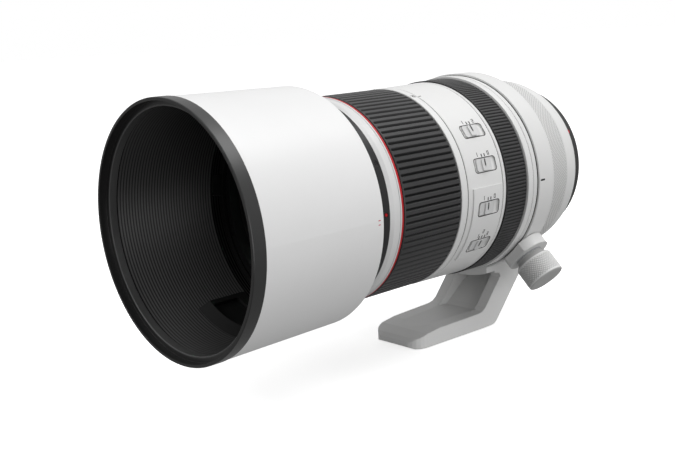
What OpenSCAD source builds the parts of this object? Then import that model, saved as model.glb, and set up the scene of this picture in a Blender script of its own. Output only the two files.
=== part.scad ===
// White telephoto zoom lens with tripod collar and bayonet hood, in millimetres.
// The origin is the centre of the mount flange. +Y runs back to the camera, +Z up,
// +X is the side with the switches. The front of the lens faces -Y.

/* [Barrel] */
// Length from the mount flange to the front edge of the filter ring
lens_len = 149.5; // [148.6:0.1:150.4]
// Radius of the black and white rings at the front of the barrel
front_r = 42.2; // [41:0.1:44]
// Radius of the switch barrel just behind the zoom ring
barrel_r = 43.0; // [42.5:0.1:44]
// Radius of the band behind the focus ring
band_r = 44.95; // [44.6:0.05:46]
// Radius of the white barrel's rear edge at the flange
tail_r = 35.6; // [35.3:0.1:36]

/* [Rings] */
// Number of axial ribs on the zoom grip
zoom_ribs = 100; // [60:2:160]
// Number of axial ribs on the focus grip
focus_ribs = 176; // [80:2:220]
// Rib height on the rubber grips
rib_h = 0.45; // [0.2:0.05:0.8]
// Angle of the zoom ring from the wide end to the long end
zoom_turn = 90; // [60:5:110]
// Travel of the front barrel over that angle
zoom_travel = 54; // [40:1:60]

/* [Hood] */
// Radius of the hood at its front edge
hood_front_r = 49.3; // [48:0.1:52]
// Radius of the hood at its rear edge
hood_rear_r = 48.3; // [47.6:0.05:49]
// Distance of the hood's front edge from the flange
hood_front = 206; // [203:0.5:209]
// Pitch of the light-trapping grooves inside the hood
groove = 1.3; // [0.8:0.1:2]

/* [Collar and foot] */
// Outer radius of the collar
collar_r = 45.8; // [45.2:0.1:48]
// Distance from the lens axis down to the foot's bottom face
foot_drop = 71.5; // [66:0.5:80]
// Half width of the foot
foot_w = 15.5; // [12:0.5:20]
// Radius of the clamp knob
knob_r = 8.6; // [6:0.1:11]

/* [Switches] */
// Length of a switch window along the lens
win_len = 13; // [10:0.5:15]
// Width of a switch window
win_w = 5.8; // [4:0.1:7]

/* [Hidden] */
$fn = 96;
win_y = -77.8;
win_at = [35, 15, -9, -32];
stroke = [0.9, 0.9, 0.9, 1.8];
white = [0.93, 0.93, 0.92];
black = [0.06, 0.06, 0.06];
rubber = [0.1, 0.1, 0.1];
steel = [0.72, 0.73, 0.75];
brass = [0.8, 0.65, 0.3];
glass = [0.5, 0.65, 0.8, 0.4];
knob_at = -45;
knob_y = -40.6;
pin_at = 146.5;
pin_r = 47.4;
win_a = -109;
dot_at = 26.5;
screw_y = -137.2;
rest = [-0.9, -0.9, -0.9, 0];

// Ring about the lens axis from a profile of [radius, y] points.
module rev(pts, n = 96) {
  rotate([-90, 0, 0]) rotate_extrude($fn = n) polygon(pts);
}

// Plain tube about the lens axis.
module tube(y0, y1, r0, r1) {
  rev([[r0, y0], [r1, y0], [r1, y1], [r0, y1]]);
}

// Solid cylinder along the lens axis.
module rod(y0, y1, r) {
  translate([0, y0, 0]) rotate([-90, 0, 0]) cylinder(r = r, h = y1 - y0);
}

// Turns a thing drawn on +X round to an angle towards +Z.
module at(a) {
  rotate([0, -a, 0]) children();
}

// Radial cylinder on the +X side.
module spoke(x0, x1, r, y = 0, n = 48) {
  translate([x0, y, 0]) rotate([0, 90, 0]) cylinder(r = r, h = x1 - x0, $fn = n);
}

// Wedge of space about the lens axis between two angles less than 180 apart.
module sector(a0, a1, y0, y1, r) {
  am = (a0 + a1) / 2;
  k = r / cos((a1 - a0) / 4);
  translate([0, y1, 0]) rotate([90, 0, 0]) linear_extrude(y1 - y0)
    polygon([
      [0, 0],
      [k * cos(a0), k * sin(a0)],
      [k * cos((a0 + am) / 2), k * sin((a0 + am) / 2)],
      [k * cos(am), k * sin(am)],
      [k * cos((am + a1) / 2), k * sin((am + a1) / 2)],
      [k * cos(a1), k * sin(a1)]
    ]);
}

// Toothed rubber sleeve with n flat-topped ribs along the axis.
module ribbed(n, y0, y1, ri, ro, h) {
  s = 360 / n;
  translate([0, y1, 0]) rotate([90, 0, 0]) linear_extrude(y1 - y0)
    difference() {
      polygon([for (i = [0 : n - 1]) for (k = [0 : 3])
        (k == 0 || k == 3 ? ro - h : ro)
          * [cos(s * (i + [0.05, 0.2, 0.7, 0.85][k])), sin(s * (i + [0.05, 0.2, 0.7, 0.85][k]))]]);
      circle(r = ri);
    }
}

// Box with rounded corners seen along +X, centred on y and z.
module pad(x0, x1, ly, lz, r, y = 0) {
  translate([x0, y, 0]) rotate([0, 90, 0]) linear_extrude(x1 - x0) union() {
    square([lz, ly - 2 * r], center = true);
    square([lz - 2 * r, ly], center = true);
    for (i = [-1, 1]) for (j = [-1, 1])
      translate([i * (lz / 2 - r), j * (ly / 2 - r)]) circle(r = r, $fn = 24);
  }
}

// ---- fixed barrel ----
module fixed_barrel() {
  color(white) difference() {
    union() {
      rev([[41.6, -90.1], [barrel_r - 0.2, -90.1], [barrel_r, -89.8], [43.45, -68.6],
        [43.25, -68.4], [43.25, -68.1], [43.5, -67.9], [43.5, -66.5], [42.4, -66.5],
        [42.4, -52.4], [41.6, -52.4]]);
      intersection() {
        tube(-87.6, -68.9, 42.6, 43.72);
        sector(-41.5, 3, -87.6, -68.9, 60);
      }
    }
    for (i = [0 : 3]) at(win_at[i]) {
      pad(42.75, 46, win_len, win_w, 1.1, win_y);
      pad(40, 43, 3.8 + 2 * stroke[i], 2.4, 0.9, win_y);
    }
  }
}

module index_band() {
  color(white) rev([[42.5, -52.5], [44.8, -52.5], [band_r, -52.3], [band_r, -49.3],
    [band_r - 0.2, -49.2], [band_r - 0.2, -48.9], [band_r, -48.8], [band_r, -46.5],
    [44.7, -46.3], [42.5, -46.3]]);
}

module rear_core() {
  color(black) rev([[38.2, -52.3], [42.4, -52.3], [42.4, -46.2], [43.4, -46.2], [43.4, -34.9],
    [39.4, -34.9], [39.4, -17.6], [38.2, -17.6]]);
}

module rear_barrel() {
  color(white) difference() {
    rev([[33, -17.5], [40.5, -17.5], [40.5, -15.4], [39.9, -11.8], [38.8, -8.8],
      [37.5, -6.6], [tail_r + 0.5, -4.6], [tail_r, -4.1], [33, -4.1]]);
    at(dot_at) spoke(35, 40, 0.95, -5.3, 32);
  }
}

module mount_ring() {
  color(steel) difference() {
    union() {
      rev([[25.2, -6], [32.9, -6], [32.9, -2.1], [33.8, -2.1], [33.8, 0], [28.7, 0],
        [28.7, -0.8], [26.8, -0.8], [26.8, 5.4], [26.4, 5.8], [25.2, 5.8]]);
      for (a = [90, 210, 330]) intersection() {
        tube(2.6, 4.6, 26.5, 28.3);
        sector(a - 27, a + 27, 2.6, 4.6, 60);
      }
    }
    for (a = [45, 135, 225, 315]) at(a) translate([31.2, 0, 0]) rotate([90, 0, 0]) {
      translate([0, 0, -1]) cylinder(r = 1.55, h = 2.3, $fn = 32);
      cylinder(r = 0.8, h = 7, $fn = 24);
    }
    at(0) translate([31.2, 0, 0]) rotate([90, 0, 0])
      translate([0, 0, -1]) cylinder(r = 1, h = 3, $fn = 24);
  }
}

module mount_screws() {
  color(steel) for (a = [45, 135, 225, 315]) at(a) translate([31.2, 0, 0])
    rotate([90, 0, 0]) difference() {
      union() {
        translate([0, 0, 0.3]) cylinder(r = 1.5, h = 1, $fn = 32);
        translate([0, 0, 1]) cylinder(r = 0.8, h = 5, $fn = 24);
      }
      for (t = [0, 90]) rotate([0, 0, t]) translate([-0.8, -0.15, 0]) cube([1.6, 0.3, 0.7]);
    }
}

module mount_seal() {
  color(rubber) rev([[33.95, -4], [tail_r + 0.15, -4], [tail_r + 0.15, -1.1],
    [tail_r - 0.2, -0.5], [33.95, -0.5]]);
}

module contact_block() {
  color(black) difference() {
    intersection() {
      tube(-3, 4.8, 20.2, 25.1);
      sector(238, 302, -3, 4.8, 60);
    }
    for (i = [0 : 11]) at(243.5 + i * 4.82) translate([22.6, 0, 0]) rotate([-90, 0, 0])
      translate([0, 0, 3]) cylinder(r = 0.6, h = 3, $fn = 24);
  }
}

module contact_pins() {
  color(brass) for (i = [0 : 11]) at(243.5 + i * 4.82) translate([22.6, 3, 0])
    rotate([-90, 0, 0]) cylinder(r = 0.55, h = 2.1, $fn = 24);
}

module rear_baffle() {
  color(black) difference() {
    rod(-8, -6.1, 32.8);
    translate([-14, -9, -10]) cube([28, 4, 20]);
  }
}

module mount_index_dot() {
  color([0.85, 0.1, 0.15]) at(dot_at) spoke(35, 36.6, 0.95, -5.3, 32);
}

module guide_tube() {
  color(steel) difference() {
    rev([[35.5, -132], [36.5, -132], [36.5, -54.5], [41.5, -54.5], [41.5, -52.6], [35.5, -52.6]]);
    for (a = [80, 200, 320]) at(a) translate([30, -126.5, -1.5]) cube([10, 63.5, 3]);
  }
}

module main_board() {
  color([0.1, 0.35, 0.2]) union() {
    tube(-14, -12.6, 26.5, 32.9);
    for (a = [0 : 45 : 315]) at(a + 8) translate([27.4, -12.8, -2]) cube([4, 1.5, 4]);
  }
}

module rear_lens_cell() {
  color(black) difference() {
    rev([[17.5, -38], [36, -38], [38.1, -36], [38.1, -30], [22, -30], [20.5, -16], [17.5, -16]]);
    rod(-33, -20, 19.5);
  }
}

module rear_element() {
  color(glass) rev([[0, -31], [6, -30.8], [12, -30.2], [19.4, -28.6], [19.4, -23.4], [12, -22.2],
    [6, -21.7], [0, -21.5]]);
}

module stabiliser_housing() {
  color(black) difference() {
    rev([[28.5, -78], [35.4, -78], [35.4, -58], [28.5, -58], [28.5, -59.6], [32.5, -59.6],
      [32.5, -76.4], [28.5, -76.4]]);
    for (a = [30, 150, 270]) at(a) spoke(30, 40, 0.9, -68, 24);
  }
}

// ---- zoom ring ----
module zoom_sleeve() {
  color(white) rev([[40.25, -127.3], [41.3, -127.3], [41.3, -94.2], [42.8, -94.2], [42.95, -94],
    [42.95, -90.7], [42.8, -90.5], [41.25, -90.5], [41.25, -58.6], [38, -58.6], [38, -60],
    [40.25, -60]]);
}

module zoom_grip() {
  color(rubber) ribbed(zoom_ribs, -127.5, -94.3, 41.34, 42.75, rib_h);
}

module cam_tube() {
  n = 6;
  color(steel) difference() {
    tube(-131, -58.7, 36.8, 37.95);
    for (a = [80, 200, 320]) for (i = [0 : n - 1])
      at(a + zoom_turn * (i + 0.5) / n)
        translate([33, -66 - zoom_travel * (i + 0.5) / n, 0])
          rotate([-atan((zoom_turn * PI / 180 * 37.4) / zoom_travel), 0, 0])
            translate([0, -8.2, -1.75]) cube([10, 16.4, 3.5]);
  }
}

// ---- front barrel ----
module front_tube() {
  color(white) tube(-135, -61.5, 38.3, 39.6);
}

module front_ring() {
  color([0.85, 0.85, 0.85]) rev([[39.6, -135.1], [41.3, -135.1], [front_r, -132.8],
    [front_r, -129.5], [39.6, -129.5]]);
}

module red_ring() {
  color([0.75, 0.08, 0.1]) rev([[39.6, -129.5], [42.4, -129.5], [42.5, -129.2],
    [42.5, -128], [42.35, -127.8], [39.6, -127.8]]);
}

module hood_mount_ring() {
  color(black) difference() {
    rev([[38.5, -lens_len], [41.9, -lens_len], [front_r, -lens_len + 0.3], [front_r, -147],
      [41, -147], [41, -143.3], [front_r, -143.3], [front_r, -135.2], [37.5, -135.2],
      [37.5, -144.5], [38.5, -144.5]]);
    for (a = [0, 120, 240]) intersection() {
      tube(-150, -146, 41, 43);
      sector(a + 38, a + 82, -150, -146, 60);
    }
    for (a = [27, 147, 267]) at(a) {
      spoke(41.4, 44, 1.25, screw_y, 32);
      spoke(37, 44, 0.7, screw_y, 24);
    }
    spoke(41.7, 44, 1, screw_y, 32);
  }
}

module hood_index_dot() {
  color([0.85, 0.1, 0.15]) spoke(41.7, 42.25, 0.6, screw_y, 32);
}

module front_screws() {
  color(steel) for (a = [27, 147, 267]) at(a) difference() {
    union() {
      spoke(41.4, 42, 1.2, screw_y, 32);
      spoke(37.7, 41.6, 0.7, screw_y, 24);
    }
    for (t = [0, 90]) translate([41.8, screw_y, 0]) rotate([t, 0, 0])
      translate([0, -0.75, -0.15]) cube([1, 1.5, 0.3]);
  }
}

module front_bezel() {
  color(black) rev([[34.9, -140.4], [35.5, -142.6], [36.1, -142.6], [36.1, -143.4],
    [36.8, -143.4], [36.8, -144.2], [37.4, -144.2], [37.4, -140.4]]);
}

module front_lens_cell() {
  color(black) rev([[34.5, -140.3], [37.4, -140.3], [37.4, -133.6], [35.1, -133.2],
    [35.1, -119], [33, -119], [33, -120.4], [34.5, -120.4]]);
}

module front_element() {
  color(glass) rev([[0, -141.2], [8, -140.9], [16, -140], [24, -138.4], [34.4, -135.2],
    [34.4, -133.6], [24, -132.2], [16, -131.4], [8, -131], [0, -130.8]]);
}

module second_element() {
  color(glass) rev([[0, -129.4], [12, -129.1], [24, -128.1], [34.4, -126.2], [34.4, -124],
    [24, -125.4], [12, -126.4], [0, -126.7]]);
}

module cam_rollers() {
  color(brass) for (a = [80, 200, 320]) at(a) spoke(35.9, 38.27, 1.1, -66, 32);
}

// ---- hood ----
module hood_shell() {
  color(white) difference() {
    rev([[46.3, -144], [hood_rear_r - 1.4, -144], [hood_rear_r - 0.8, -144.12],
      [hood_rear_r - 0.3, -144.6], [hood_rear_r - 0.05, -145.3], [hood_rear_r, -146.2],
      [49.1, -200.4], [47.9, -200.4], [46.3, -150]]);
    at(172) pad(40, 60, 7.4, 9.4, 1.2, -150.2);
    at(win_a) pad(40, 60, 13, 16, 1.5, -168);
  }
}

module hood_liner() {
  n = floor((197 - 152) / groove);
  color(black) difference() {
    rev(concat(
      [[46.25, -150.1], [47.8, -199.5], [46.9, -199.5]],
      [for (i = [0 : n - 1]) for (k = [0 : 1])
        [(k == 0 ? 46.75 : 46.15) - 1.4 * i / n, -198.8 + groove * (i + k * 0.75)]],
      [[45, -150.1]]));
    at(172) pad(40, 60, 7.4, 9.4, 1.2, -150.2);
    at(win_a) pad(40, 60, 13, 16, 1.5, -168);
    intersection() {
      tube(-179.2, -156.8, 40, 45.65);
      sector(win_a - 14, win_a + 29, -179.2, -156.8, 60);
    }
  }
}

module hood_rim() {
  color(rubber) rev([[48.05, -hood_front], [49.1, -hood_front],
    [hood_front_r, -hood_front + 0.3], [hood_front_r, -200.6], [49.2, -200.5],
    [47.8, -200.5], [47.8, -199.6], [45.8, -199.6], [45.8, -202.6], [46, -202.8],
    [48.05, -202.8]]);
}

module hood_bayonet() {
  color(black) difference() {
    union() {
      rev([[42.6, -149.9], [46.2, -149.9], [46.2, -144.3], [45.4, -143.9], [42.6, -143.9]]);
      for (a = [0, 120, 240]) intersection() {
        tube(-146.4, -143.9, 41.3, 43);
        sector(a - 19, a + 19, -146.4, -143.9, 60);
      }
    }
    at(172) pad(43.6, 60, 7.4, 9.4, 1.2, -150.2);
  }
}

module hood_window_frame() {
  color(black) difference() {
    intersection() {
      rev([[42.6, -174.6], [45.6, -179], [45.6, -157], [42.6, -157]]);
      sector(win_a - 13.7, win_a + 28.7, -179, -157, 60);
    }
    intersection() {
      tube(-175.4, -159, 43.9, 45.1);
      sector(win_a - 12.3, win_a + 27.3, -175.4, -159, 60);
    }
    at(win_a) pad(40, 60, 13, 16, 1.5, -168);
  }
}

module hood_window_door() {
  color(black) union() {
    intersection() {
      tube(-175.2, -159.2, 44.1, 44.9);
      sector(win_a - 12, win_a + 12, -175.2, -159.2, 60);
    }
    for (y = [-171, -168, -165]) intersection() {
      tube(y - 0.5, y + 0.5, 44.7, 45.8);
      sector(win_a - 8.8, win_a - 5, y - 0.5, y + 0.5, 60);
    }
  }
}

module hood_release_button() {
  color(black) at(172) difference() {
    union() {
      pad(44.6, 48.5, 7, 9, 1.1, -150.2);
      pad(48.2, 48.9, 6.4, 8.4, 1, -150.2);
    }
    for (i = [-2 : 2]) translate([48.6, -150.2 + i * 1.2 - 0.3, -3]) cube([1, 0.6, 6]);
  }
}

// ---- focus and control rings ----
module focus_sleeve() {
  color(black) tube(-66.2, -52.7, 42.5, 43.55);
}

module focus_grip() {
  color(rubber) ribbed(focus_ribs, -66.2, -52.7, 43.59, 44.1, 0.28);
}

module control_ring() {
  color(white) rev([[39.5, -34.7], [40.8, -34.7], [41, -34.5], [41, -32.9], [40.75, -32.8],
    [40.75, -20], [41, -19.9], [41, -18], [40.8, -17.7], [39.5, -17.7]]);
}

// ---- switches ----
module switch_knob(i) {
  color([0.88, 0.88, 0.87]) at(win_at[i]) difference() {
    union() {
      pad(42.85, 43.45, win_len - 3.9, win_w - 0.5, 0.9, win_y + rest[i]);
      pad(43.4, 44.15, 3.4, win_w - 0.9, 0.6, win_y + rest[i]);
      pad(41.7, 43, 3.4, 1.9, 0.7, win_y + rest[i]);
    }
    translate([44, win_y + rest[i] - 0.2, -1]) cube([1, 0.4, 4]);
  }
}

module focus_range_switch() {
  switch_knob(0);
}

module focus_mode_switch() {
  switch_knob(1);
}

module stabiliser_switch() {
  switch_knob(2);
}

module stabiliser_mode_switch() {
  switch_knob(3);
}

// ---- tripod collar ----
module collar_lower() {
  h = foot_drop;
  color(white) difference() {
    union() {
      intersection() {
        tube(-46, -35.3, 43.95, collar_r);
        union() {
          sector(150, 235, -46, -35.3, 60);
          sector(234, 321, -46, -35.3, 60);
        }
      }
      intersection() {
        translate([-foot_w, -46, -52]) cube([2 * foot_w, 28.4, 14]);
        difference() {
          rod(-46, -17.6, 48.5);
          rod(-47, -34.6, 43.95);
          rod(-36, -10, 42.3);
        }
      }
      intersection() {
        translate([foot_w, 0, 0]) rotate([90, 0, -90]) linear_extrude(2 * foot_w) scale([-1, 1])
          polygon([[-40, -45], [-15.8, -45], [-38.4, -69.2], [-39.6, -70.4], [-41.2, -71.2],
            [-43.2, -h], [-91.6, -h], [-92.8, -h + 0.6], [-93.4, -h + 1.8], [-93.1, -h + 3.1],
            [-91.4, -h + 4.6], [-86, -h + 6.4], [-78, -h + 7.3], [-52.5, -h + 7.6],
            [-49.6, -h + 8.1], [-47.2, -h + 9.6], [-36, -49.2], [-36.5, -47.6], [-40, -47]]);
        translate([0, 0, -80]) linear_extrude(60)
          polygon(concat(
            [for (a = [-90 : 15 : 0]) [6.5 + 7.5 * cos(a), -85.9 + 7.5 * sin(a)]],
            [[foot_w, -50], [foot_w, -15], [-foot_w, -15], [-foot_w, -50]],
            [for (a = [180 : 15 : 270]) [-6.5 + 7.5 * cos(a), -85.9 + 7.5 * sin(a)]]));
      }
      at(knob_at) {
        spoke(46.1, 50.3, 10, knob_y, 64);
        difference() {
          spoke(44.3, 46.4, 10, knob_y, 64);
          rotate([0, knob_at, 0]) rod(-60, -20, 45.15);
        }
      }
      for (y = [-46, -38]) at(pin_at) translate([pin_r, y, 0]) rotate([-90, 0, 0])
        cylinder(r = 2.9, h = 2.7, $fn = 48);
      for (y = [-46, -38]) intersection() {
        tube(y, y + 2.7, 44.2, 47.2);
        sector(149, 153, y, y + 2.7, 60);
      }
    }
    rod(-34.6, -15, 42.3);
    difference() {
      rod(-55, -46.1, 46);
      rod(-56, -45, 40);
    }
    intersection() {
      tube(-44.2, -37, 43, 46);
      sector(308, 325, -44.2, -37, 60);
    }
    intersection() {
      tube(-46.1, -35.2, 43, 46.1);
      sector(321.3, 350, -46.1, -35.2, 60);
    }
    at(pin_at) translate([pin_r, -50, 0]) rotate([-90, 0, 0]) cylinder(r = 1.25, h = 20, $fn = 32);
    at(pin_at) translate([pin_r, -43.2, 0]) rotate([-90, 0, 0]) cylinder(r = 3.2, h = 5.1, $fn = 48);
    at(knob_at) spoke(44, 56, 2.6, knob_y);
    translate([0, -70, -h - 1]) cylinder(r = 4.6, h = 7);
    translate([0, -95, -h + 46.7]) rotate([-90, 0, 0]) cylinder(r = 40, h = 46, $fn = 192);
    translate([10, 0, 0]) rotate([90, 0, -90]) linear_extrude(20) scale([-1, 1])
      polygon([[-53, -h + 9.6], [-51, -h + 6.7], [-46, -h + 6.7], [-43, -h + 8.3],
        [-27, -52.2], [-23, -47.9], [-36, -46]]);
  }
}

module foot_insert() {
  color(steel) translate([0, -70, -foot_drop]) difference() {
    cylinder(r = 4.6, h = 6);
    translate([0, 0, -1]) cylinder(r = 2.55, h = 9);
  }
}

module collar_liner() {
  color(black) intersection() {
    tube(-45.8, -35.5, 43.5, 43.95);
    union() {
      sector(151, 235, -46, -35.3, 60);
      sector(234.5, 307.5, -46, -35.3, 60);
    }
  }
}

module hinge_pin() {
  color(steel) at(pin_at) translate([pin_r, -46.2, 0]) rotate([-90, 0, 0]) union() {
    cylinder(r = 1.25, h = 11.1, $fn = 32);
    translate([0, 0, -0.5]) cylinder(r = 1.8, h = 0.5, $fn = 32);
  }
}

module collar_band() {
  color(white) difference() {
    union() {
      intersection() {
        tube(-46, -35.3, 43.6, collar_r);
        union() {
          sector(-37.6, 60, -46, -35.3, 60);
          sector(59, 141, -46, -35.3, 60);
        }
      }
      intersection() {
        tube(-43.8, -37.4, 44.5, 45.7);
        sector(-47, -36, -43.8, -37.4, 60);
      }
      at(pin_at) translate([pin_r, -43, 0]) rotate([-90, 0, 0])
        cylinder(r = 2.9, h = 4.7, $fn = 48);
      intersection() {
        tube(-43, -38.3, 44.2, 47.2);
        sector(139, 144, -43, -38.3, 60);
      }
    }
    at(pin_at) translate([pin_r, -50, 0]) rotate([-90, 0, 0]) cylinder(r = 1.32, h = 20, $fn = 32);
    translate([collar_r - 0.25, -45.2, -0.25]) cube([1, 2.9, 0.5]);
  }
}

module knob_washer() {
  color(steel) at(knob_at) difference() {
    spoke(50.4, 51, 6.4, knob_y);
    spoke(50, 52, 2.7, knob_y);
  }
}

module collar_knob() {
  color(white) at(knob_at) translate([0, knob_y, 0]) rotate([0, 90, 0]) {
    rotate_extrude() polygon([[2.55, 51.1], [6.6, 51.1], [6.6, 52.2], [7.9, 53.2],
      [knob_r - 0.25, 54.2], [knob_r, 54.6], [knob_r, 63], [knob_r - 0.5, 63.7], [7.4, 63.9],
      [0, 63.9], [0, 61.6], [2.55, 61.6]]);
  }
}

module knob_screw() {
  color(steel) at(knob_at) spoke(45.85, 61.5, 2.5, knob_y);
}

// ---- moving lens groups ----
module zoom_group_cell() {
  color(black) rev([[26, -112], [35.3, -112], [35.3, -98], [31, -98], [31, -99.5], [33.4, -99.5],
    [33.4, -110.5], [26, -110.5]]);
}

module zoom_group_glass() {
  color(glass) rev([[0, -108], [14, -107.2], [33.3, -109.4], [33.3, -102.5], [14, -104.6],
    [0, -105]]);
}

module focus_group_cell() {
  color(black) rev([[22, -92], [35.3, -92], [35.3, -83], [33.5, -83], [33.5, -90.5], [24, -90.5],
    [24, -84], [22, -84]]);
}

module focus_group_glass() {
  color(glass) rev([[0, -86.4], [12, -86.9], [21.9, -88.4], [21.9, -91.6], [12, -90.6], [0, -90.2]]);
}

module stabiliser_frame() {
  color(steel) tube(-75.5, -70.5, 25.5, 30.5);
}

module stabiliser_cell() {
  color(black) rev([[18.5, -69.5], [29, -69.5], [29, -66.5], [22.5, -66.5], [22.5, -61],
    [18.5, -61]]);
}

module stabiliser_glass() {
  color(glass) rev([[0, -66.8], [10, -67.2], [18.4, -68.2], [18.4, -63], [10, -62.2], [0, -61.8]]);
}

fixed_barrel();
index_band();
rear_core();
rear_barrel();
mount_ring();
mount_screws();
mount_seal();
contact_block();
contact_pins();
rear_baffle();
mount_index_dot();
guide_tube();
main_board();
rear_lens_cell();
rear_element();
stabiliser_housing();
zoom_sleeve();
zoom_grip();
cam_tube();
front_tube();
front_ring();
red_ring();
hood_mount_ring();
hood_index_dot();
front_screws();
front_bezel();
front_lens_cell();
front_element();
second_element();
cam_rollers();
hood_shell();
hood_liner();
hood_rim();
hood_bayonet();
hood_window_frame();
hood_window_door();
hood_release_button();
focus_sleeve();
focus_grip();
control_ring();
focus_range_switch();
focus_mode_switch();
stabiliser_switch();
stabiliser_mode_switch();
collar_lower();
foot_insert();
collar_liner();
hinge_pin();
collar_band();
knob_washer();
collar_knob();
knob_screw();
zoom_group_cell();
zoom_group_glass();
focus_group_cell();
focus_group_glass();
stabiliser_frame();
stabiliser_cell();
stabiliser_glass();
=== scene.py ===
import math

import bmesh
import bpy
from mathutils import Matrix, Vector


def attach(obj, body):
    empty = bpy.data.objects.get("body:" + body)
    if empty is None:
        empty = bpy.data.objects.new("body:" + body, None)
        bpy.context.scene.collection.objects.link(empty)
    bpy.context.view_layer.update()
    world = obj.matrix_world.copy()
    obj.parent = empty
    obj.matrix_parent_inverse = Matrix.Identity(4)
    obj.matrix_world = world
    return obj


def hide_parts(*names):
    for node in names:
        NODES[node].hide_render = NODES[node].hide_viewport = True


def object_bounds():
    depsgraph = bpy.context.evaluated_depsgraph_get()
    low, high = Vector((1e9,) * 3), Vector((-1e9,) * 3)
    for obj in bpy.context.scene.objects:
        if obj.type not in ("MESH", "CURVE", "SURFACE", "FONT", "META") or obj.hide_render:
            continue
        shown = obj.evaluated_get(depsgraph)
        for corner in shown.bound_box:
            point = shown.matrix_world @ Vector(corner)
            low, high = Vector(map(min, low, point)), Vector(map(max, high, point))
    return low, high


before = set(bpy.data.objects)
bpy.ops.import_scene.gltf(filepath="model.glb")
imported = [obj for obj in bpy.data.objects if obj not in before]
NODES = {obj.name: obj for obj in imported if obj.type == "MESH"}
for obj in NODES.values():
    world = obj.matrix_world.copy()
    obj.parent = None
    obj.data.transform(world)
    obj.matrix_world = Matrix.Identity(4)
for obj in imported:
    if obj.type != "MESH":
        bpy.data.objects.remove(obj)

cad_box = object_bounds()
MM = 0.001
ORIGIN = (0, 0, 0)
LENS_AXIS = (0, 1, 0)

# clamp knob: angle of its axis round the lens, and where the axis crosses along the lens (mm)
KNOB_AT = math.radians(-45)
KNOB_Y = -40.6
KNOB_OUT = Vector((math.cos(KNOB_AT), 0, math.sin(KNOB_AT)))
KNOB_SIDE = Vector((-math.sin(KNOB_AT), 0, math.cos(KNOB_AT)))

# pitch of the grooves in the hood liner, and height of the fine bump of every surface (mm)
LINER_PITCH = 1.3
BUMP_HEIGHT = 0.02


# ---------------------------------------------------------------- materials
def material(name, color, rough, metallic=0.0, bump=0.0, grain=900.0, mottle=0.04,
             coat=0.0, coat_rough=0.2, spec=0.5, streak=None, rough_var=0.08, edge_mm=0.0):
    """Principled surface with mottled colour, uneven roughness and fine bump in object space.

    edge_mm is the radius over which a bumped surface rounds the shading of its edges, and
    streak is the scale of the pattern along each axis.
    """
    m = bpy.data.materials.new(name)
    m.use_nodes = True
    nt = m.node_tree
    bsdf = nt.nodes["Principled BSDF"]
    bsdf.inputs["Metallic"].default_value = metallic
    bsdf.inputs["Specular IOR Level"].default_value = spec
    bsdf.inputs["Coat Weight"].default_value = coat
    bsdf.inputs["Coat Roughness"].default_value = coat_rough
    tc = nt.nodes.new("ShaderNodeTexCoord")
    mp = nt.nodes.new("ShaderNodeMapping")
    if streak:
        mp.inputs["Scale"].default_value = streak
    nt.links.new(tc.outputs["Object"], mp.inputs["Vector"])

    def noise(scale, detail):
        """Noise texture in the scaled coordinates."""
        n = nt.nodes.new("ShaderNodeTexNoise")
        n.inputs["Scale"].default_value = scale
        n.inputs["Detail"].default_value = detail
        nt.links.new(mp.outputs["Vector"], n.inputs["Vector"])
        return n

    broad = noise(38.0, 4.0)
    ramp = nt.nodes.new("ShaderNodeValToRGB")
    lo = [c * (1 - mottle) for c in color]
    hi = [min(1.0, c * (1 + mottle)) for c in color]
    ramp.color_ramp.elements[0].position = 0.3
    ramp.color_ramp.elements[0].color = (*lo, 1)
    ramp.color_ramp.elements[1].position = 0.7
    ramp.color_ramp.elements[1].color = (*hi, 1)
    nt.links.new(broad.outputs["Fac"], ramp.inputs["Fac"])
    nt.links.new(ramp.outputs["Color"], bsdf.inputs["Base Color"])

    fine = noise(grain, 3.0)
    rr = nt.nodes.new("ShaderNodeMapRange")
    rr.inputs["To Min"].default_value = max(0.02, rough - rough_var)
    rr.inputs["To Max"].default_value = min(1.0, rough + rough_var)
    nt.links.new(fine.outputs["Fac"], rr.inputs["Value"])
    nt.links.new(rr.outputs["Result"], bsdf.inputs["Roughness"])
    if bump:
        b = nt.nodes.new("ShaderNodeBump")
        b.inputs["Strength"].default_value = bump
        b.inputs["Distance"].default_value = BUMP_HEIGHT * MM
        nt.links.new(fine.outputs["Fac"], b.inputs["Height"])
        nt.links.new(b.outputs["Normal"], bsdf.inputs["Normal"])
        if edge_mm:
            soft = nt.nodes.new("ShaderNodeBevel")
            soft.samples = 4
            soft.inputs["Radius"].default_value = edge_mm * MM
            nt.links.new(soft.outputs["Normal"], b.inputs["Normal"])
    return m


def object_coords(nt):
    """Socket that gives the object's own coordinates, in metres."""
    return nt.nodes.new("ShaderNodeTexCoord").outputs["Object"]


def map_range(nt, value, from_min=0.0, from_max=1.0, to_min=0.0, to_max=1.0):
    """Socket that carries value mapped from one range to another."""
    node = nt.nodes.new("ShaderNodeMapRange")
    for key, limit in (("From Min", from_min), ("From Max", from_max),
                       ("To Min", to_min), ("To Max", to_max)):
        node.inputs[key].default_value = limit
    nt.links.new(value, node.inputs["Value"])
    return node.outputs["Result"]


def mix_base(m, mode, factor, first, second):
    """Puts a colour mix in front of a paint's base colour.

    factor, first and second are numbers, colours or sockets, or None for the paint's own colour.
    """
    nt = m.node_tree
    bsdf = nt.nodes["Principled BSDF"]
    mix = nt.nodes.new("ShaderNodeMix")
    mix.data_type = "RGBA"
    mix.blend_type = mode
    own = bsdf.inputs["Base Color"].links[0].from_socket
    for slot, value in ((0, factor), (6, first), (7, second)):
        if value is None:
            nt.links.new(own, mix.inputs[slot])
        elif isinstance(value, bpy.types.NodeSocket):
            nt.links.new(value, mix.inputs[slot])
        else:
            mix.inputs[slot].default_value = value
    nt.links.new(mix.outputs[2], bsdf.inputs["Base Color"])


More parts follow.
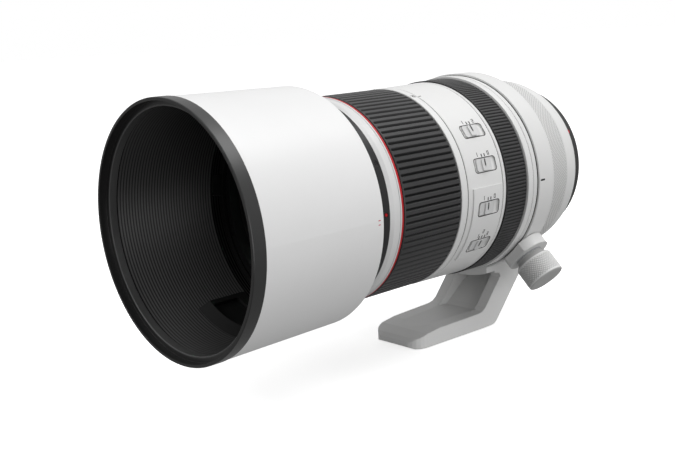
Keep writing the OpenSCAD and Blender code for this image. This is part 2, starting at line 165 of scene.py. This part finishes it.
def striped(name, color, other, y_mm):
    """Paint that changes from other to color behind the plane y_mm along the lens."""
    m = material(name, color, 0.38, bump=0.15, grain=1200, mottle=0.05, spec=0.4)
    nt = m.node_tree
    sep = nt.nodes.new("ShaderNodeSeparateXYZ")
    nt.links.new(object_coords(nt), sep.inputs["Vector"])
    blur = 0.03
    edge = map_range(nt, sep.outputs["Y"], (y_mm - blur) * MM, (y_mm + blur) * MM)
    mix_base(m, "MIX", edge, (*other, 1), None)
    return m


def painted_groove_shade(m, pitch, dark):
    """Paints shade in even bands along the lens, one for each turned groove, and lowers the
    specular with it.
    """
    nt = m.node_tree
    wave = nt.nodes.new("ShaderNodeTexWave")
    wave.wave_type = "BANDS"
    wave.bands_direction = "Y"
    wave.inputs["Scale"].default_value = math.pi / (10 * pitch * MM)
    nt.links.new(object_coords(nt), wave.inputs["Vector"])
    shade = map_range(nt, wave.outputs["Fac"], to_min=dark)
    mix_base(m, "MULTIPLY", 1.0, None, shade)
    nt.links.new(shade, nt.nodes["Principled BSDF"].inputs["Specular IOR Level"])
    return m


def shade_by_radius(m, centre, axis, low, high, factor):
    """Multiplies a paint by factor inside radius low (mm) of an axis, fading to none at high; a
    factor below 1 paints shade and one above 1 paints light.
    """
    nt = m.node_tree
    off = nt.nodes.new("ShaderNodeVectorMath")
    off.operation = "SUBTRACT"
    off.inputs[1].default_value = [c * MM for c in centre]
    nt.links.new(object_coords(nt), off.inputs[0])
    cross = nt.nodes.new("ShaderNodeVectorMath")
    cross.operation = "CROSS_PRODUCT"
    cross.inputs[1].default_value = axis
    nt.links.new(off.outputs["Vector"], cross.inputs[0])
    distance = nt.nodes.new("ShaderNodeVectorMath")
    distance.operation = "LENGTH"
    nt.links.new(cross.outputs["Vector"], distance.inputs[0])
    shade = map_range(nt, distance.outputs["Value"], low * MM, high * MM, to_min=factor)
    mix_base(m, "MULTIPLY", 1.0, None, shade)


def glass(name, tint, coat_tint):
    """Clear optical glass with a faint coloured coating."""
    m = material(name, tint, 0.03, grain=400, mottle=0.02, rough_var=0.01, coat=1.0,
                 coat_rough=0.03)
    bsdf = m.node_tree.nodes["Principled BSDF"]
    bsdf.inputs["Transmission Weight"].default_value = 0.92
    bsdf.inputs["IOR"].default_value = 1.6
    bsdf.inputs["Coat Tint"].default_value = (*coat_tint, 1)
    return m


WHITE = material("barrel_white_paint", (0.76, 0.76, 0.755), 0.34, bump=0.25, grain=2600,
                 mottle=0.012, edge_mm=0.15)
HOOD_W = material("hood_white_paint", (0.80, 0.80, 0.80), 0.4, bump=0.22, grain=2400, mottle=0.01)
COLLAR_W = material("collar_cast_paint", (0.74, 0.74, 0.735), 0.42, bump=0.4, grain=2000,
                    mottle=0.02, edge_mm=0.7)
KNURL_W = material("knurled_white_paint", (0.74, 0.74, 0.735), 0.4, bump=0.2, grain=2600,
                   mottle=0.015)
KNOB_W = material("knob_white_paint", (0.74, 0.74, 0.735), 0.4, bump=0.2, grain=2600,
                  mottle=0.015)
SILVER = material("front_ring_paint", (0.70, 0.70, 0.70), 0.32, bump=0.2, grain=2600, mottle=0.012,
                  edge_mm=0.15)
SWITCH = material("switch_grey_plastic", (0.66, 0.66, 0.66), 0.4, bump=0.3, grain=2200, mottle=0.02,
                  edge_mm=0.15)
GRIP = material("grip_rubber", (0.034, 0.034, 0.035), 0.42, bump=0.5, grain=1800, mottle=0.12,
                spec=0.4)
FOCUS_GRIP = material("focus_grip_rubber", (0.036, 0.036, 0.037), 0.45, bump=0.5, grain=1800,
                      mottle=0.12, spec=0.4)
RIM = material("rim_rubber", (0.02, 0.02, 0.02), 0.4, bump=0.4, grain=1600, mottle=0.15, spec=0.5,
               edge_mm=0.2)
HOOD_RIM = material("hood_rim_rubber", (0.018, 0.018, 0.018), 0.34, bump=0.4, grain=1600,
                    mottle=0.15, spec=0.6, edge_mm=0.2)
FLOCK = material("hood_matte_black", (0.009, 0.009, 0.009), 0.55, bump=0.5, grain=1500, mottle=0.2,
                 spec=0.35)
# the liner's grooves get painted shade in bands at their pitch
LINER = painted_groove_shade(material("hood_liner_black", (0.021, 0.021, 0.021), 0.5, bump=0.4, grain=1500,
                              mottle=0.15), LINER_PITCH, 0.05)
INNER = material("inner_black_plastic", (0.016, 0.016, 0.016), 0.5, bump=0.4, grain=1500,
                 mottle=0.15)
ANOD = material("black_anodised", (0.016, 0.016, 0.017), 0.34, metallic=0.3, bump=0.3, grain=1400,
                mottle=0.1, edge_mm=0.12)
STEEL = material("mount_steel", (0.62, 0.63, 0.65), 0.24, metallic=1.0, bump=0.25, grain=500,
                 streak=(1, 14, 1), mottle=0.04, rough_var=0.07, edge_mm=0.12)
SCREW = material("blackened_screw_steel", (0.05, 0.05, 0.052), 0.3, metallic=0.8, bump=0.3,
                 grain=900, mottle=0.1)
ALU = material("tube_aluminium", (0.55, 0.56, 0.58), 0.32, metallic=1.0, bump=0.3, grain=500,
               streak=(1, 10, 1), mottle=0.05)
BRASS = material("contact_gold", (0.83, 0.62, 0.24), 0.2, metallic=1.0, bump=0.2, grain=900,
                 mottle=0.05)
BOARD = material("circuit_board", (0.02, 0.12, 0.05), 0.4, bump=0.6, grain=700, mottle=0.3)
RED = material("red_enamel", (0.47, 0.004, 0.010), 0.42, bump=0.15, grain=1200, mottle=0.05,
               spec=0.3)
INK = material("black_ink", (0.012, 0.012, 0.012), 0.6, bump=0.2, grain=2500, mottle=0.1)
RED_INK = material("red_ink", (0.55, 0.03, 0.06), 0.5, bump=0.2, grain=2500, mottle=0.08)
# flat black for the rings of painted shadow in the barrel's gaps and grooves
SHADOW = material("gap_shadow_black", (0.008, 0.008, 0.008), 0.9, bump=0.3, grain=2500, mottle=0.2,
                  spec=0.2)
# painted shade: the hollows of the knurls and grips are darkened below their tops; painted light:
# the inner lip of the hood rim is lightened
shade_by_radius(KNURL_W, ORIGIN, LENS_AXIS, 40.6, 40.9, 0.3)
shade_by_radius(KNOB_W, (0, KNOB_Y, 0), KNOB_OUT, 8.28, 8.52, 0.6)
shade_by_radius(GRIP, ORIGIN, LENS_AXIS, 41.9, 42.6, 0.12)
shade_by_radius(FOCUS_GRIP, ORIGIN, LENS_AXIS, 43.72, 44.03, 0.12)
# painted light on the inner lip of the hood rim
shade_by_radius(HOOD_RIM, ORIGIN, LENS_AXIS, 46.0, 46.6, 5.0)
RED_RING = striped("red_stripe_ring", (0.47, 0.004, 0.010), (0.70, 0.70, 0.70), -128.95)
GLASS = glass("coated_glass", (0.93, 0.97, 0.98), (0.75, 0.9, 0.8))

LOOK = {
    WHITE: ["fixed_barrel", "index_band", "rear_barrel", "zoom_sleeve", "front_tube",
            "control_ring"],
    SILVER: ["front_ring"],
    HOOD_W: ["hood_shell"],
    COLLAR_W: ["collar_lower", "collar_band", "collar_knob"],
    SWITCH: ["focus_range_switch", "focus_mode_switch", "stabiliser_switch",
             "stabiliser_mode_switch"],
    GRIP: ["zoom_grip", "focus_grip"],
    RIM: ["mount_seal"],
    HOOD_RIM: ["hood_rim"],
    LINER: ["hood_liner"],
    FLOCK: ["hood_bayonet", "hood_window_frame", "hood_window_door", "front_bezel"],
    INNER: ["rear_core", "contact_block", "rear_baffle", "rear_lens_cell", "stabiliser_housing",
            "front_lens_cell", "zoom_group_cell", "focus_group_cell", "stabiliser_cell",
            "focus_sleeve", "collar_liner", "hood_release_button"],
    ANOD: ["hood_mount_ring"],
    SCREW: ["front_screws"],
    STEEL: ["mount_ring", "mount_screws", "hinge_pin", "knob_washer", "knob_screw",
            "foot_insert", "stabiliser_frame"],
    ALU: ["guide_tube", "cam_tube"],
    BRASS: ["contact_pins", "cam_rollers"],
    BOARD: ["main_board"],
    RED_RING: ["red_ring"],
    RED: ["mount_index_dot", "hood_index_dot"],
    GLASS: ["rear_element", "front_element", "second_element", "zoom_group_glass",
            "focus_group_glass", "stabiliser_glass"],
}
for mat, names in LOOK.items():
    for n in names:
        NODES[n].data.materials.clear()
        NODES[n].data.materials.append(mat)


# ---------------------------------------------------------------- mesh helpers
def pol(r, a, y):
    """Point at radius r and angle a (degrees, from +X towards +Z), y along the lens, all in mm."""
    t = math.radians(a)
    return Vector((r * math.cos(t) * MM, y * MM, r * math.sin(t) * MM))


def add(name, bm, mat, body, nodes=(), sharp=32):
    """Turns a bmesh into a piece that rides on a CAD body and stands for the named nodes."""
    bmesh.ops.remove_doubles(bm, verts=bm.verts, dist=1e-7)
    bmesh.ops.recalc_face_normals(bm, faces=bm.faces)
    me = bpy.data.meshes.new(name)
    bm.to_mesh(me)
    bm.free()
    for p in me.polygons:
        p.use_smooth = True
    me.set_sharp_from_angle(angle=math.radians(sharp))
    me.materials.append(mat)
    o = bpy.data.objects.new(name, me)
    bpy.context.scene.collection.objects.link(o)
    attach(o, body)
    if nodes:
        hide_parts(*nodes)


def ring_faces(bm, loops):
    """Joins closed loops of vertices, one after another and back to the first."""
    m = len(loops[0])
    for s, p in enumerate(loops):
        q = loops[(s + 1) % len(loops)]
        for k in range(m):
            bm.faces.new((p[k], p[(k + 1) % m], q[(k + 1) % m], q[k]))


def gap_ring(name, r0, r1, y0, y1):
    """Dark ring of painted shadow in the bottom of a groove or gap of the barrel, r0 to r1 and y0
    to y1 in mm.
    """
    bm = bmesh.new()
    steps = 288
    profile = ((r0, y0), (r1, y0), (r1, y1), (r0, y1))
    ring_faces(bm, [[bm.verts.new(pol(r, 360 * s / steps, y)) for r, y in profile]
                    for s in range(steps)])
    add(name, bm, SHADOW, "barrel")


def relief(name, n_around, rows, mat, body, nodes, height, y0, y1, inner, sharp=40):
    """Closed sleeve whose outer surface follows height(u, v), u in turns, v from 0 to 1."""
    bm = bmesh.new()
    cols = []
    for s in range(n_around):
        u = s / n_around
        a = 360 * u
        col = [bm.verts.new(pol(inner, a, y0))]
        for v in rows:
            col.append(bm.verts.new(pol(height(u, v), a, y0 + (y1 - y0) * v)))
        col.append(bm.verts.new(pol(inner, a, y1)))
        cols.append(col)
    ring_faces(bm, cols)
    add(name, bm, mat, body, nodes, sharp)


def ribs(name, n, y0, y1, inner, r0, r1, depth, mat, body, nodes, duty, end):
    """Rubber grip with n flat-topped ribs along the lens and a smooth lip at each end.

    duty is the share of a pitch that a rib takes and end is the length of a lip in mm.
    """
    half = duty / 2
    edge = 0.11
    lip_drop = 0.28
    lip_sink = 0.02
    columns = 12

    def top(u):
        """1 on a rib, 0 in a gap, with a smooth step of 2 * edge of a pitch between them."""
        x = abs((u * n) % 1 - 0.5)
        if x < half - edge:
            return 1.0
        if x > half + edge:
            return 0.0
        t = (half + edge - x) / (2 * edge)
        return t * t * (3 - 2 * t)

    length = y1 - y0
    lip = end / length
    rows = [0, lip * 0.25, lip * 0.6, lip, lip + 0.004, lip + 0.02, 0.25, 0.5, 0.75,
            1 - lip - 0.02, 1 - lip - 0.004, 1 - lip, 1 - lip * 0.6, 1 - lip * 0.25, 1]

    def height(u, v):
        """Outer radius in mm: ribs between rounded lips."""
        base = r0 + (r1 - r0) * v
        e = min(v, 1 - v) * length
        if e <= end * 0.999:
            return base - lip_drop * (1 - math.sqrt(max(0.0, 1 - (1 - e / end) ** 2))) - lip_sink
        run_out = min(1.0, (e - end) / 0.25 + 0.25)
        return base - depth * (1 - top(u)) * run_out

    relief(name, n * columns, rows, mat, body, nodes, height, y0, y1, inner)


def knurl_cut(u, w, rows_n, flat):
    """Depth of a diamond knurl, 0 on its flats to 1 in its grooves.

    u counts diamonds round the piece, and w goes from 0 to 1 along it.
    """
    cut = max(abs((u + w * rows_n) % 1 - 0.5), abs((u - w * rows_n) % 1 - 0.5)) * 2
    return max(0.0, (cut - flat) / (1 - flat))


def diamonds(name, n, rows_n, y0, y1, inner, r, depth, mat, body, nodes, lip, per):
    """Sleeve with a diamond knurl, n round and rows_n long, between two plain lips.

    lip is the length of a lip in mm, and per is the number of samples in a diamond.
    """
    k = rows_n * per
    v0 = lip / (y1 - y0)
    rows = [0.0, v0 * 0.5, v0 * 0.99]
    rows += [v0 + (1 - 2 * v0) * (j + 0.5) / k for j in range(k)]
    rows += [1 - v0 * 0.99, 1 - v0 * 0.5, 1.0]

    def height(u, v):
        """Outer radius in mm: plain on the lips, cut between them."""
        w = (v - v0) / (1 - 2 * v0)
        if w <= 0 or w >= 1:
            return r
        return r - depth * knurl_cut(u * n, w, rows_n, 0.45)

    relief(name, n * per, rows, mat, body, nodes, height, y0, y1, inner, sharp=60)


# ---------------------------------------------------------------- grips and knurls
ribs("zoom_grip_ribbed", 100, -127.5, -94.3, 41.34, 42.7, 42.75, 0.85, GRIP, "zoom_ring",
     ["zoom_grip"], duty=0.72, end=0.7)
ribs("focus_grip_ribbed", 176, -66.2, -52.7, 43.59, 44.05, 44.12, 0.42, FOCUS_GRIP, "focus_ring",
     ["focus_grip"], duty=0.62, end=0.4)
diamonds("control_ring_knurled", 190, 12, -34.7, -17.7, 39.5, 41.0, 0.4, KNURL_W, "control",
         ["control_ring"], lip=0.6, per=5)


def knob_point(r, a, h):
    """Point r from the clamp knob's axis at angle a about it, h out from the lens axis, in mm."""
    side = KNOB_SIDE * (r * math.cos(a)) + Vector((0, r * math.sin(a), 0))
    return (KNOB_OUT * h + side + Vector((0, KNOB_Y, 0))) * MM


def knob():
    """Clamp knob: a short neck, a diamond knurl and a flat end with a soft edge."""
    bm = bmesh.new()
    # diamonds round the knob, samples in a diamond, diamonds along the knob
    around, per, rows_n = 44, 6, 7
    h0, h1, r, depth = 54.4, 63.0, 8.6, 0.34
    fade_share = 0.06
    neck = ((2.6, 51.1), (6.5, 51.1), (6.6, 51.9), (6.8, 52.4), (7.6, 53.0), (8.25, 53.6),
            (8.5, 54.0), (8.58, 54.3))
    end = ((8.52, 63.25), (8.3, 63.55), (7.9, 63.8), (7.4, 63.9), (3.0, 63.9))
    rows = rows_n * per
    n = around * per
    cols = []
    for s in range(n):
        a = 2 * math.pi * s / n
        col = [bm.verts.new(knob_point(rr, a, h)) for rr, h in neck]
        for j in range(rows + 1):
            w = j / rows
            fade = min(1.0, w / fade_share, (1 - w) / fade_share)
            rr = r - depth * knurl_cut(s / per, w, rows_n, 0.4) * fade
            col.append(bm.verts.new(knob_point(rr, a, h0 + (h1 - h0) * w)))
        col += [bm.verts.new(knob_point(rr, a, h)) for rr, h in end]
        cols.append(col)
    m = len(cols[0])
    for s in range(n):
        p, q = cols[s], cols[(s + 1) % n]
        for k in range(m - 1):
            bm.faces.new((p[k], p[k + 1], q[k + 1], q[k]))
    bm.faces.new([c[-1] for c in cols])
    bm.faces.new([c[0] for c in reversed(cols)])
    add("collar_knob_knurled", bm, KNOB_W, "knob", ["collar_knob"], sharp=50)


knob()


# ---------------------------------------------------------------- marks and gap lines
def prism(bm, low, high):
    """Closed block between two outlines with the same number of corners."""
    lo = [bm.verts.new(p) for p in low]
    hi = [bm.verts.new(p) for p in high]
    n = len(lo)
    bm.faces.new(hi)
    bm.faces.new(list(reversed(lo)))
    for k in range(n):
        bm.faces.new((hi[k], lo[k], lo[(k + 1) % n], hi[(k + 1) % n]))


def patch(name, outlines, radius, mat, body, lift=0.03):
    """Thin raised marks: each outline is a list of (angle, y) corners laid on radius(y).

    A mark stands lift proud of the surface and sink deep in it.
    """
    sink = 0.06
    bm = bmesh.new()
    for pts in outlines:
        prism(bm, [pol(radius(y) - sink, a, y) for a, y in pts],
              [pol(radius(y) + lift, a, y) for a, y in pts])
    add(name, bm, mat, body, sharp=25)


def stroke_box(a, y, wide, tall, r):
    """Corners of a small bar centred on angle a and y: wide along the lens, tall around it."""
    da = math.degrees(tall / 2 / r)
    dy = wide / 2
    return [(a - da, y - dy), (a - da, y + dy), (a + da, y + dy), (a + da, y - dy)]


def constant(r):
    """Radius function of a plain cylinder."""
    return lambda y: r


def barrel_r(y):
    """Outer radius of the switch barrel at y."""
    return 43.0 + 0.45 * (y + 89.8) / 21.2


def hood_r(y):
    """Outer radius of the hood at y."""
    return 48.3 + (-146.2 - y) * 0.01476


def frame_line(a, y, ly, lz, rad, w, r):
    """Rounded rectangle ly by lz, drawn w wide as a chain of short quads on radius r."""
    near, far = rad - w / 2, rad + w / 2
    path = []
    for cy, cz, start in ((1, 1, 0), (-1, 1, 90), (-1, -1, 180), (1, -1, 270)):
        for k in range(5):
            t = math.radians(start + 22.5 * k)
            path.append((cy * (ly / 2 - rad), cz * (lz / 2 - rad), math.cos(t), math.sin(t)))
    out = []
    n = len(path)
    for k in range(n):
        quad = []
        for i, d in ((k, near), (k, far), ((k + 1) % n, far), ((k + 1) % n, near)):
            oy, oz, c, s = path[i]
            quad.append((a + math.degrees((oz + s * d) / r), y + oy + c * d))
        out.append(quad)
    return out


# switch windows: middle along the lens, length, height, corner radius and line width in mm
WIN_Y = -77.8
WINDOW = (13.2, 6.0, 1.2, 0.32)
WINDOW_R = 43.5
PAD_R = constant(43.72)
SURFACE_R = 43.3
TICK_RISE = math.degrees(4.0 / SURFACE_R)
# angle of each switch round the lens, and where its index ticks stand along the window
UPPER = ((35, (-0.9, 0.9)), (15, (-0.9, 0.9)))
LOWER = ((-9, (-0.9, 0.9)), (-32, (-1.8, 0.0, 1.8)))

for label, switches, radius in (("upper", UPPER, barrel_r), ("lower", LOWER, PAD_R)):
    frames = []
    for at, _ in switches:
        frames += frame_line(at, WIN_Y, *WINDOW, WINDOW_R)
    patch("switch_window_lines_" + label, frames, radius, INK, "barrel",
          lift=0.035)

for label, switches, radius in (("upper", UPPER, barrel_r), ("lower", LOWER, PAD_R)):
    ticks = [stroke_box(at + TICK_RISE, WIN_Y + dy, 0.55, 1.3, SURFACE_R)
             for at, places in switches for dy in places]
    patch("switch_ticks_" + label, ticks, radius, INK, "barrel")

# bars of each character, named as on a seven-bar display; i is an upright in the middle
BARS = {"0": "abcdef", "1": "bc", "2": "abged", "3": "abgcd", "5": "afgcd", "7": "abc",
        "I": "i", "O": "abcdef"}
# height and line width of the numerals in mm, then width and space as shares of the height
TEXT_HEIGHT = 1.5
SWITCH_STROKE = 0.27
SCALE_STROKE = 0.22
ASPECT = 0.55
SPACE = 0.3


def digit(ch, y, a, r, w):
    """One numeral from plain bars, upright when read from the switch side, at y (left edge)."""
    h, k = TEXT_HEIGHT, TEXT_HEIGHT * ASPECT
    seg = {
        "a": (k / 2, h, k, w), "g": (k / 2, h / 2, k, w), "d": (k / 2, 0, k, w),
        "f": (0, h * 0.75, w, h / 2), "b": (k, h * 0.75, w, h / 2),
        "e": (0, h * 0.25, w, h / 2), "c": (k, h * 0.25, w, h / 2), "i": (k / 2, h / 2, w, h),
    }
    out = []
    for bar in BARS[ch]:
        dy, dz, wy, wz = seg[bar]
        wy += w if wy > wz else 0
        wz += w if wz > wy else 0
        out.append(stroke_box(a + math.degrees(dz / r), y + dy, wy, wz, r))
    return out


def number(text, y, a, r, w):
    """A row of numerals centred on y."""
    step = TEXT_HEIGHT * (ASPECT + SPACE)
    start = y - (len(text) * step - TEXT_HEIGHT * SPACE) / 2
    out = []
    for i, ch in enumerate(text):
        out += digit(ch, start + i * step, a, r, w)
    return out


# numerals over each kind of switch: text, place along the lens and extra angle
ON_OFF = (("I", -3.4, -1.2), ("O", 3.4, -1.2))
ONE_TWO = (("1", -3.4, -1.2), ("2", 3.4, -1.2))
ONE_TWO_THREE = (("1", -3.1, -0.6), ("2", 0.0, 1.6), ("3", 3.1, -0.6))
LABEL_RISE = math.degrees(4.75 / SURFACE_R)


def labels(name, switches, r, radius):
    """Numerals over the switch windows of one row."""
    marks = []
    for at, texts in switches:
        for text, dy, extra in texts:
            marks += number(text, WIN_Y + dy, at + LABEL_RISE + extra, r, SWITCH_STROKE)
    patch(name, marks, radius, INK, "barrel")


labels("switch_numerals_upper", ((15, ON_OFF), (35, ONE_TWO)), SURFACE_R, barrel_r)
labels("switch_numerals_lower", ((-9, ON_OFF), (-32, ONE_TWO_THREE)), 43.7, PAD_R)

scale = []
for text, at in (("200", 157), ("135", 127), ("100", 97), ("70", 67)):
    scale += number(text, -92.35, at, 42.9, SCALE_STROKE)
patch("zoom_scale", scale, constant(42.96), INK, "zoom_ring", lift=0.02)
patch("zoom_index", [stroke_box(67, -88.9, 1.7, 0.35, 43.0)], barrel_r, INK, "barrel")
patch("collar_index", [stroke_box(0.2, -43.6, 2.8, 0.8, 45.8)], constant(45.8), INK, "band",
      lift=0.02)
patch("barrel_index", [stroke_box(a, -16.2, 0.9, 0.4, 40.5) for a in (90, 180)], constant(40.5),
      INK, "barrel", lift=0.02)
patch("hood_lock_marks", [stroke_box(a, -147.0, 1.1, 0.32, 48.3) for a in (0.3, -1.6)], hood_r,
      RED_INK, "hood", lift=0.02)


def knob_line(name, body, at, dy):
    """Black line across a switch knob, from its middle up to its top edge."""
    half, bottom, top = 0.31, -0.5, 2.44
    sunk, proud = 43.9, 44.24
    t = math.radians(at)
    out = Vector((math.cos(t), 0, math.sin(t)))
    side = Vector((-math.sin(t), 0, math.cos(t)))
    y0, y1 = WIN_Y + dy - half, WIN_Y + dy + half
    outline = ((y0, bottom), (y1, bottom), (y1, top), (y0, top))
    bm = bmesh.new()
    prism(bm, *([(out * r + side * z + Vector((0, y, 0))) * MM for y, z in outline]
                for r in (sunk, proud)))
    add(name, bm, INK, body)


for name, body, at, dy in (("focus_range_line", "range_switch", 35, -0.9),
                           ("focus_mode_line", "mode_switch", 15, -0.9),
                           ("stabiliser_line", "steady_switch", -9, -0.9),
                           ("stabiliser_mode_line", "steady_mode_switch", -32, 0.0)):
    knob_line(name, body, at, dy)

# rings of painted shadow in the gaps and grooves of the barrel
gap_ring("zoom_gap_shadow", 41.9, 42.72, -90.45, -90.12)
gap_ring("barrel_groove_shadow", 43.0, 43.29, -68.42, -68.16)
gap_ring("band_groove_shadow", 44.5, 44.78, -49.18, -49.0)
gap_ring("collar_gap_shadow", 43.5, 45.05, -46.28, -46.03)


# ---------------------------------------------------------------- stage
# how far the floor reaches each way and its distance below the foot in metres, and its own glow
FLOOR_REACH = 6.0
FLOOR_GAP = 0.0002
FLOOR_GLOW = 0.62


def plane(name, size, z, mat):
    """Square floor at height z that reaches size metres each way."""
    bm = bmesh.new()
    vs = [bm.verts.new((x * size, y * size, z)) for x, y in ((-1, -1), (1, -1), (1, 1), (-1, 1))]
    bm.faces.new(vs)
    me = bpy.data.meshes.new(name)
    bm.to_mesh(me)
    bm.free()
    me.materials.append(mat)
    o = bpy.data.objects.new(name, me)
    bpy.context.scene.collection.objects.link(o)
    return o


FLOOR = material("pale_floor", (0.93, 0.93, 0.93), 0.6, bump=0.05, grain=60, mottle=0.005)
floor_shader = FLOOR.node_tree.nodes["Principled BSDF"]
floor_shader.inputs["Emission Color"].default_value = (1, 1, 1, 1)
floor_shader.inputs["Emission Strength"].default_value = FLOOR_GLOW
floor = plane("floor", FLOOR_REACH, cad_box[0][2] - FLOOR_GAP, FLOOR)
floor.visible_diffuse = False
floor.visible_glossy = False


def area(name, loc, target, size, power):
    """White rectangular light of power watts at loc that faces target."""
    li = bpy.data.lights.new(name, "AREA")
    li.shape = "RECTANGLE"
    li.size, li.size_y = size
    li.energy = power
    o = bpy.data.objects.new(name, li)
    o.location = loc
    o.rotation_euler = (Vector(target) - Vector(loc)).to_track_quat("-Z", "Y").to_euler()
    bpy.context.scene.collection.objects.link(o)


area("key", (0.3, 0.25, 1.15), (0, -0.09, 0), (0.9, 0.9), 8.5)
area("side_fill", (1.1, -0.35, -0.05), (0, -0.12, 0), (0.9, 0.7), 5.2)
area("rim_strip", (-0.25, -1.0, 0.55), (0, -0.17, 0), (0.5, 0.2), 2.0)


def studio_world():
    """Soft room light: bright above and behind, dim in front and below, white where it is seen."""
    world = bpy.data.worlds.new("studio")
    world.use_nodes = True
    nt = world.node_tree
    soft = nt.nodes["Background"]
    tc = nt.nodes.new("ShaderNodeTexCoord")
    sep = nt.nodes.new("ShaderNodeSeparateXYZ")
    nt.links.new(tc.outputs["Generated"], sep.inputs["Vector"])

    def ramp(axis, lo, hi, out_lo, out_hi):
        """Smooth ramp of the light's strength along one axis of the view direction."""
        strength = map_range(nt, sep.outputs[axis], lo, hi, out_lo, out_hi)
        strength.node.interpolation_type = "SMOOTHSTEP"
        return strength

    depth = ramp("Y", -0.9, 0.5, 0.4, 0.8)
    height = ramp("Z", -0.7, 0.6, 0.42, 0.88)
    mul = nt.nodes.new("ShaderNodeMath")
    mul.operation = "MULTIPLY"
    nt.links.new(depth, mul.inputs[0])
    nt.links.new(height, mul.inputs[1])
    nt.links.new(mul.outputs["Value"], soft.inputs["Strength"])
    soft.inputs["Color"].default_value = (1, 1, 1, 1)
    seen = nt.nodes.new("ShaderNodeBackground")
    seen.inputs["Color"].default_value = (1, 1, 1, 1)
    seen.inputs["Strength"].default_value = 1.0
    path = nt.nodes.new("ShaderNodeLightPath")
    mix = nt.nodes.new("ShaderNodeMixShader")
    nt.links.new(path.outputs["Is Camera Ray"], mix.inputs["Fac"])
    nt.links.new(soft.outputs["Background"], mix.inputs[1])
    nt.links.new(seen.outputs["Background"], mix.inputs[2])
    nt.links.new(mix.outputs["Shader"], nt.nodes["World Output"].inputs["Surface"])
    bpy.context.scene.world = world


studio_world()
bpy.context.scene.view_settings.view_transform = "Standard"

# ---------------------------------------------------------------- camera
CAMERA_AT = Vector((0.2984, -0.396, 0.0713))
CAMERA_RIGHT = Vector((0.6809, 0.7306, -0.0512)).normalized()
CAMERA_FORWARD = Vector((-0.7238, 0.6606, -0.1996)).normalized()

cam = bpy.data.cameras.new("camera")
cam.sensor_width = 36
cam.lens = 52.86
cam.clip_start = 0.01
cam_ob = bpy.data.objects.new("camera", cam)
camera_up = CAMERA_RIGHT.cross(CAMERA_FORWARD).normalized()
pose = Matrix((CAMERA_RIGHT, camera_up, -CAMERA_FORWARD)).transposed().to_4x4()
pose.translation = CAMERA_AT
cam_ob.matrix_world = pose
bpy.context.scene.collection.objects.link(cam_ob)
bpy.context.scene.camera = cam_ob
